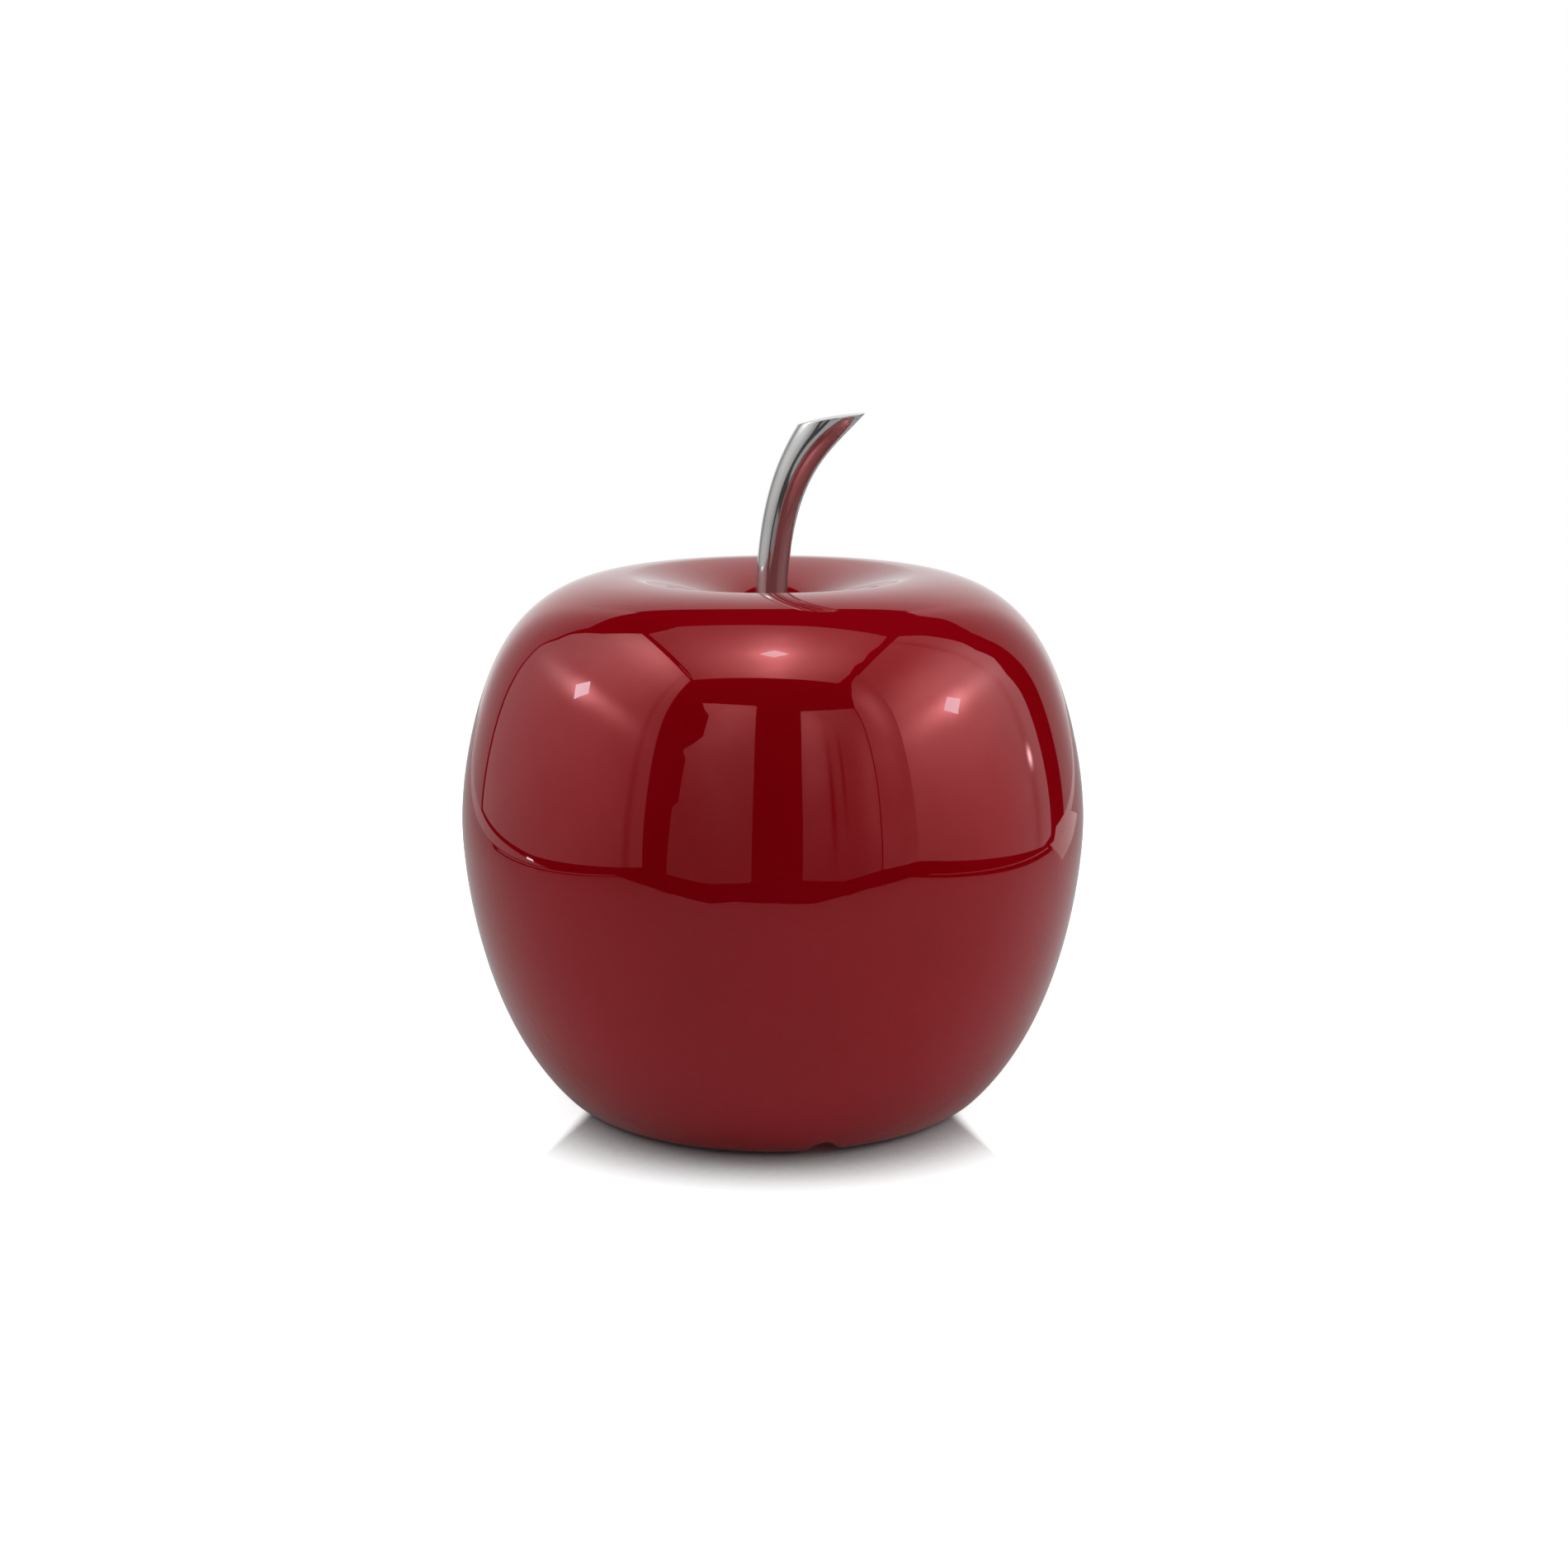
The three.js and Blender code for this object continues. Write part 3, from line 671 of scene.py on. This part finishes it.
left_cloth = lit_cloth("left_cloth", 0.45, [
    ((0, -0.12, 0.90), (FAR, 0.42, 0.60), 1.45),
    ((0, -0.10, 1.15), (FAR, 0.50, 0.25), 1.9),
    ((0, -0.12, 0.475), (FAR, 0.26, 0.05), 2.2),
    ((0, -0.08, 0.475), (FAR, 0.075, 0.05), 2.4),
    ((0, -0.53, 0), (FAR, 0.025, FAR), -0.25)])
right_cloth = lit_cloth("right_cloth", 0.74, [
    ((0, -0.20, 0.52), (FAR, 0.40, 0.24), 2.1),
    ((0, -0.18, 0.45), (FAR, 0.24, 0.05), 2.5),
    ((0, -0.18, 0.44), (FAR, 0.08, 0.05), 2.5),
    ((0, 0.11, 0), (FAR, 0.025, FAR), -0.25),
    ((0, 0.115, 0.185), (FAR, 0.012, 0.015), 9.0)])
top_cloth = lit_cloth("top_cloth", 0.55, [
    ((0, -0.38, 0), (0.42, 0.42, FAR), 2.4),
    ((0.01, -0.32, 0), (0.12, 0.36, FAR), 2.3),
    ((0.01, -0.27, 0), (0.12, 0.09, FAR), 2.0)])
left_pane = lit_cloth("left_pane", 0.30, [((-0.16, 0, 0.62), (0.20, FAR, 0.27), 1.3)], 0.3)
right_pane = lit_cloth("right_pane", 0.28, [
    ((0.16, 0, 0.62), (0.16, FAR, 0.30), 0.7),
    ((0.12, 0, 0.42), (0.06, FAR, 0.16), 0.6),
    ((0.35, 0, 0.30), (0.05, FAR, 0.20), 0.5),
    ((0.187, 0, 0.28), (0.010, FAR, 0.14), -0.40),
    ((0.232, 0, 0.32), (0.007, FAR, 0.10), -0.35)], 0.3)
back_cloth = lit_cloth("back_cloth", 0.90, [((0, 0, 1.45), (FAR, FAR, 0.50), -0.25)], 0.05)
side_back_cloth = lit_cloth("side_back_cloth", 0.36, [((0, 1.25, 0), (FAR, 0.45, FAR), 0.5)], 0.05)
flap_cloth = lit_cloth("flap_cloth", 0.62, [((0.47, 0, 0.62), (0.10, FAR, 0.22), 1.0)], 0.3)
hem_cloth = lit_cloth("hem_cloth", 0.6, [])
card_glow = lit_cloth("card_glow", 0.85, [], 0.1)
lamp_and_glint_glow = lit_cloth("lamp_and_glint_glow", 14.0, [], 0.02, (0.50, 0.95, 1.0))

black_cloth, shader, tree = node_material("black_cloth")
places = add_node(tree, "ShaderNodeTexCoord").outputs["Object"]
folds = add_node(tree, "ShaderNodeTexNoise", {"Scale": 6.0}, {"Vector": places})
tree.links.new(ramp(tree, folds.outputs["Fac"],
                    [(0.3, (0.008, 0.008, 0.008)), (0.7, (0.014, 0.014, 0.014))]),
               shader.inputs["Base Color"])
shader.inputs["Specular IOR Level"].default_value = 0.0
shader.inputs["Roughness"].default_value = 1.0

left_edge = [(0.36, 0.040), (0.37, 0.3), (0.395, 0.4), (0.425, 0.5), (0.40, 0.6), (0.425, 0.7), (0.40, 0.8),
             (0.355, 0.9), (0.345, 1.0), (0.33, 1.24)]
left_wall = [(-0.64, 1.24), (-0.645, 0.028), (-0.30, 0.028), (-0.05, 0.026), (0.05, 0.031), (0.20, 0.036)]
flat_sheet("left_wall", [(-TENT_SIDE, y, z) for y, z in left_wall + left_edge], left_cloth)
left_back = [(0.385, 0.0), (0.39, 0.3), (0.412, 0.4), (0.442, 0.5), (0.43, 0.6), (0.46, 0.7), (0.50, 0.85),
             (0.60, 0.95), (0.75, 1.08), (0.90, 1.22), (TENT_BACK, 1.5)]
flat_sheet("left_back_wall", [(-TENT_SIDE, y, z) for y, z in left_back + [(TENT_BACK, 0)]], side_back_cloth)
right_edge = [(0.21, 0.02), (0.21, 0.3), (0.20, 0.4), (0.235, 0.5), (0.22, 0.6), (0.25, 0.7), (0.26, 0.8),
              (0.28, 1.0), (0.25, 1.24)]
right_wall = [(-0.70, 1.24), (-0.70, 0.055), (-0.45, 0.048), (-0.15, 0.03), (0.15, 0.008)] + right_edge
flat_sheet("right_wall", [(TENT_SIDE, y, z) for y, z in right_wall], right_cloth)
right_back = [(0.37, 0.0), (0.375, 0.2), (0.38, 0.4), (0.39, 0.6), (0.42, 0.7), (0.50, 0.80), (0.60, 0.90),
              (0.70, 1.0), (0.80, 1.15), (0.90, 1.28), (TENT_BACK, 1.5)]
flat_sheet("right_back_wall", [(TENT_SIDE, y, z) for y, z in right_back + [(TENT_BACK, 0)]], side_back_cloth)
back_wall = [(-TENT_SIDE, 0), (TENT_SIDE, 0), (TENT_SIDE, 1.45), (-TENT_SIDE, 1.45)]
flat_sheet("back_wall", [(x, TENT_BACK, z) for x, z in back_wall], back_cloth)
roof = [(-0.58, -0.64), (0.0, -0.70), (0.50, -0.74), (0.53, -0.55), (0.515, -0.4), (0.545, -0.3),
        (0.53, -0.15), (0.55, 0.0), (0.54, 0.2), (0.3, 0.26), (0.15, 0.31), (-0.2, 0.36), (-0.38, 0.385),
        (-0.45, 0.33), (-0.57, 0.30), (-0.565, -0.1), (-0.56, -0.5)]
flat_sheet("roof", [(x, y, TENT_TOP) for x, y in roof], top_cloth)
left_opening = [(-0.36, 0.045), (-0.345, 0.23), (-0.32, 0.24), (-0.31, 0.35), (-0.33, 0.38), (-0.28, 0.40),
                (-0.25, 0.42), (-0.245, 0.52), (-0.28, 0.58), (-0.30, 0.635), (-0.27, 0.625), (-0.17, 0.60),
                (-0.06, 0.575), (-0.058, 0.30), (-0.062, 0.05), (-0.20, 0.035)]
flat_sheet("left_opening", [(x, TENT_FRONT, z) for x, z in left_opening], left_pane)
right_opening = [(0.105, 0.535), (0.09, 0.30), (0.085, 0.055), (0.22, 0.04), (0.372, 0.055), (0.375, 0.3),
                 (0.36, 0.5), (0.345, 0.59), (0.22, 0.555)]
flat_sheet("right_opening", [(x, TENT_FRONT, z) for x, z in right_opening], right_pane)
right_flap = [(0.378, 0.055), (0.60, 0.05), (0.60, 1.20), (0.56, 1.20), (0.44, 0.95), (0.372, 0.72),
              (0.352, 0.60), (0.366, 0.50), (0.381, 0.30)]
flat_sheet("right_flap", [(x, TENT_FRONT, z) for x, z in right_flap], flap_cloth)

# The lamps outside shine through the cloth as three small bright patches, each set on a corner.
for name, middle, across, along in (
        ("left_lamp", (-TENT_SIDE + LAMP_PROUD, -0.08, 0.48), (0, 0.046, 0), (0, 0, 0.064)),
        ("right_lamp", (TENT_SIDE - LAMP_PROUD, -0.185, 0.44), (0, 0.056, 0), (0, 0, 0.048)),
        ("top_lamp", (0.01, -0.27, TENT_TOP - LAMP_PROUD), (0.080, 0, 0), (0, 0.064, 0))):
    middle, across, along = Vector(middle), Vector(across), Vector(along)
    flat_sheet(name, [middle - across, middle - along, middle + across, middle + along], lamp_and_glint_glow)

# Pale hems lie between the table and the two sides, with dark gaps on either side of them. They are not lit
# but glow at a fixed level, painted light for their lit look. Further back the table reaches the sides.
for name, side in (("left_hem", -1), ("right_hem", 1)):
    hem = [(HEM_SIDE, -0.46), (HEM_SIDE + 0.014, -0.46), (HEM_SIDE + 0.014, 0.18), (HEM_SIDE, 0.18)]
    flat_sheet(name, [(x * side, y, 0) for x, y in hem], hem_cloth)

# White card lies at the right, at the back of the table, and stands along the foot of both sides. The card
# is not lit either but glows at fixed levels, painted light. A crease in the left one is a painted glint
# that glows as bright as the lamps, and the hem of the roof glows like the card.
loose_card = [(0.40, 0.20), (0.595, 0.20), (0.595, 0.50), (0.44, 0.48)]
flat_sheet("loose_card", [(x, y, 0.001) for x, y in loose_card], card_glow)
right_skirt = [(0.24, 0), (1.19, 0), (1.19, 0.02), (0.26, 0.026)]
flat_sheet("right_skirt", [(TENT_SIDE - SKIRT_PROUD, y, z) for y, z in right_skirt], card_glow)
left_skirt = [(-0.12, 0.002), (1.19, 0), (1.19, 0.03), (0.36, 0.032), (0.10, 0.023), (0.0, 0.016)]
flat_sheet("left_skirt", [(SKIRT_PROUD - TENT_SIDE, y, z) for y, z in left_skirt], hem_cloth)
left_crease_glint = [(-0.05, 0.010), (-0.01, 0.013), (-0.01, 0.018), (-0.04, 0.016)]
flat_sheet("left_crease_glint", [(CREASE_PROUD - TENT_SIDE, y, z) for y, z in left_crease_glint], lamp_and_glint_glow)
roof_hem = [(-0.588, -0.60), (-0.578, -0.60), (-0.574, -0.36), (-0.584, -0.36)]
flat_sheet("roof_hem", [(x, y, TENT_TOP - ROOF_HEM_DROP) for x, y in roof_hem], card_glow)

# The front of the tent, behind the openings, and the room round it are dark.
bm = bmesh.new()
bmesh.ops.create_cube(bm, size=1)
bmesh.ops.scale(bm, verts=bm.verts, vec=(3.6, 3.4, 3.6))
bmesh.ops.translate(bm, verts=bm.verts, vec=(0, 0.45, 0.6))
bmesh.ops.reverse_faces(bm, faces=bm.faces)
room = make_piece(bm, "dark_room", black_cloth)
room.visible_camera = False

# The table is card. Seen directly it is as white as the background beyond the apple's shadow, through
# painted light: a glow for the camera alone, which also draws the edges of that shadow.
# From underneath it is seen through, and it shines softly up inside the foot, so that the recess, the
# pads and the hand hole can be looked at.
table_white, shader, tree = node_material("table_white")
places = add_node(tree, "ShaderNodeTexCoord").outputs["Object"]
light_path = add_node(tree, "ShaderNodeLightPath")
flat_distance = add_node(tree, "ShaderNodeVectorMath", {1: (1, 1, 0)}, {0: places}, operation="MULTIPLY")
distance = add_node(tree, "ShaderNodeVectorMath", None, {0: flat_distance.outputs[0]}, operation="LENGTH")
# Painted light for the camera only: a glow that grows with distance from the axis whitens the table, so the
# apple's real shadow shows only close round the foot.
painted_light_by_distance = add_node(tree, "ShaderNodeMapRange",
                    {"From Min": 0.086, "From Max": 0.135, "To Min": 0.0, "To Max": 0.75},
                    {"Value": distance.outputs["Value"]}, interpolation_type="SMOOTHSTEP")
# More painted light whitens the table beside the foot. It cuts the shadow to a wedge in front of the foot
# and one behind it, and keeps a narrow dark ring at the foot's edge.
apart = add_node(tree, "ShaderNodeSeparateXYZ", None, {0: places})
shifted = add_node(tree, "ShaderNodeMath", {1: 0.0015}, {0: apart.outputs["X"]}, operation="ADD")
aside = add_node(tree, "ShaderNodeMath", None, {0: shifted.outputs[0]}, operation="ABSOLUTE")
ahead = add_node(tree, "ShaderNodeMath", None, {0: apart.outputs["Y"]}, operation="ABSOLUTE")
past_edge = add_node(tree, "ShaderNodeMath", {1: -0.25}, {0: ahead.outputs[0], 2: aside.outputs[0]},
                     operation="MULTIPLY_ADD")
painted_light_beside = add_node(tree, "ShaderNodeMapRange",
                  {"From Min": 0.061, "From Max": 0.068, "To Min": 0.0, "To Max": 0.8},
                  {"Value": past_edge.outputs[0]}, interpolation_type="SMOOTHSTEP")
ring = add_node(tree, "ShaderNodeMath", {1: 0.45}, {0: ahead.outputs[0], 2: distance.outputs["Value"]},
                operation="MULTIPLY_ADD")
clear_of_foot = add_node(tree, "ShaderNodeMapRange", {"From Min": 0.084, "From Max": 0.092},
                         {"Value": ring.outputs[0]}, interpolation_type="SMOOTHSTEP")
painted_light_beside = add_node(tree, "ShaderNodeMath", None,
                  {0: painted_light_beside.outputs["Result"], 1: clear_of_foot.outputs["Result"]}, operation="MULTIPLY")
painted_table_light = add_node(tree, "ShaderNodeMath", None,
                      {0: painted_light_by_distance.outputs["Result"], 1: painted_light_beside.outputs[0]}, operation="MAXIMUM")
seen_glow = add_node(tree, "ShaderNodeMath", None,
                     {0: painted_table_light.outputs[0], 1: light_path.outputs["Is Camera Ray"]},
                     operation="MULTIPLY")
under_foot = add_node(tree, "ShaderNodeMapRange",
                      {"From Min": 0.070, "From Max": 0.078, "To Min": 0.5, "To Max": 0.0},
                      {"Value": distance.outputs["Value"]})
hidden_glow = add_node(tree, "ShaderNodeMath", None,
                       {0: under_foot.outputs["Result"], 1: light_path.outputs["Is Diffuse Ray"]},
                       operation="MULTIPLY")
mirrored_glow = add_node(tree, "ShaderNodeMath", None,
                         {0: under_foot.outputs["Result"], 1: light_path.outputs["Is Glossy Ray"],
                          2: hidden_glow.outputs[0]}, operation="MULTIPLY_ADD")
glow = add_node(tree, "ShaderNodeMath", None, {0: seen_glow.outputs[0], 1: mirrored_glow.outputs[0]},
                operation="ADD")
fibre = add_node(tree, "ShaderNodeTexNoise", {"Scale": 300.0}, {"Vector": places})
card = ramp(tree, fibre.outputs["Fac"], [(0.3, (0.54, 0.54, 0.54)), (0.7, (0.58, 0.58, 0.58))])
# Lit and shaded copies of one card: its colour is 0.90 for the diffuse light it bounces onto the apple, but
# a grey 0.54 to 0.58 in reflections and to the camera. The lower body mirrors a floor painted darker than
# the one that lights it.
card_whiter_for_bounce = add_node(tree, "ShaderNodeMix", {"B": (0.90, 0.90, 0.90, 1)},
                      {"Factor": light_path.outputs["Is Diffuse Ray"], "A": card}, data_type="RGBA")
tree.links.new(card_whiter_for_bounce.outputs["Result"], shader.inputs["Base Color"])
tree.links.new(glow.outputs[0], shader.inputs["Emission Strength"])
shader.inputs["Emission Color"].default_value = (1, 1, 1, 1)
shader.inputs["Roughness"].default_value = 0.6
shader.inputs["Specular IOR Level"].default_value = 0.2
underneath = add_node(tree, "ShaderNodeNewGeometry").outputs["Backfacing"]
clear = add_node(tree, "ShaderNodeBsdfTransparent")
one_sided = add_node(tree, "ShaderNodeMixShader", None,
                     {0: underneath, 1: shader.outputs["BSDF"], 2: clear.outputs["BSDF"]})
tree.links.new(one_sided.outputs[0], tree.nodes["Material Output"].inputs["Surface"])
table_edge = [(TABLE_LEFT, -0.46), (-0.4, -0.475), (-0.15, -0.44), (-0.1, -0.48), (0.0, -0.48), (0.1, -0.46),
              (0.3, -0.53), (TABLE_RIGHT, -0.53), (TABLE_RIGHT, 0.19), (0.6, 0.22), (0.6, TENT_BACK),
              (-0.6, TENT_BACK), (-0.6, 0.24), (TABLE_LEFT, 0.20)]
flat_sheet("table", [(x, y, 0) for x, y in table_edge], table_white, seen=True)

world = bpy.data.worlds.new("white_background")
bpy.context.scene.world = world
world.use_nodes = True
world.node_tree.nodes["Background"].inputs["Color"].default_value = (1, 1, 1, 1)
world.node_tree.nodes["Background"].inputs["Strength"].default_value = 1.0
bpy.context.scene.view_settings.view_transform = "Standard"

# CAMERA
# It stands 0.885 m in front of the apple's axis and looks down on it, as the outline in the
# photograph gives it. The apple's axis lies a little to the left of the picture's middle.
CAMERA_DISTANCE = 0.88495
CAMERA_HEIGHT = 0.328245
CAMERA_PITCH = radians(12.748)
CAMERA_ROLL = radians(-0.166)
CAMERA_LENS = 50.62
CAMERA_SHIFT = 0.0072
camera_data = bpy.data.cameras.new("camera")
camera_data.sensor_width = 36
camera_data.lens = CAMERA_LENS
camera_data.shift_x = CAMERA_SHIFT
camera = bpy.data.objects.new("camera", camera_data)
bpy.context.scene.collection.objects.link(camera)
camera.matrix_world = (Matrix.Translation((0, -CAMERA_DISTANCE, CAMERA_HEIGHT))
                       @ Matrix.Rotation(pi / 2 - CAMERA_PITCH, 4, "X")
                       @ Matrix.Rotation(CAMERA_ROLL, 4, "Z"))
bpy.context.scene.camera = camera
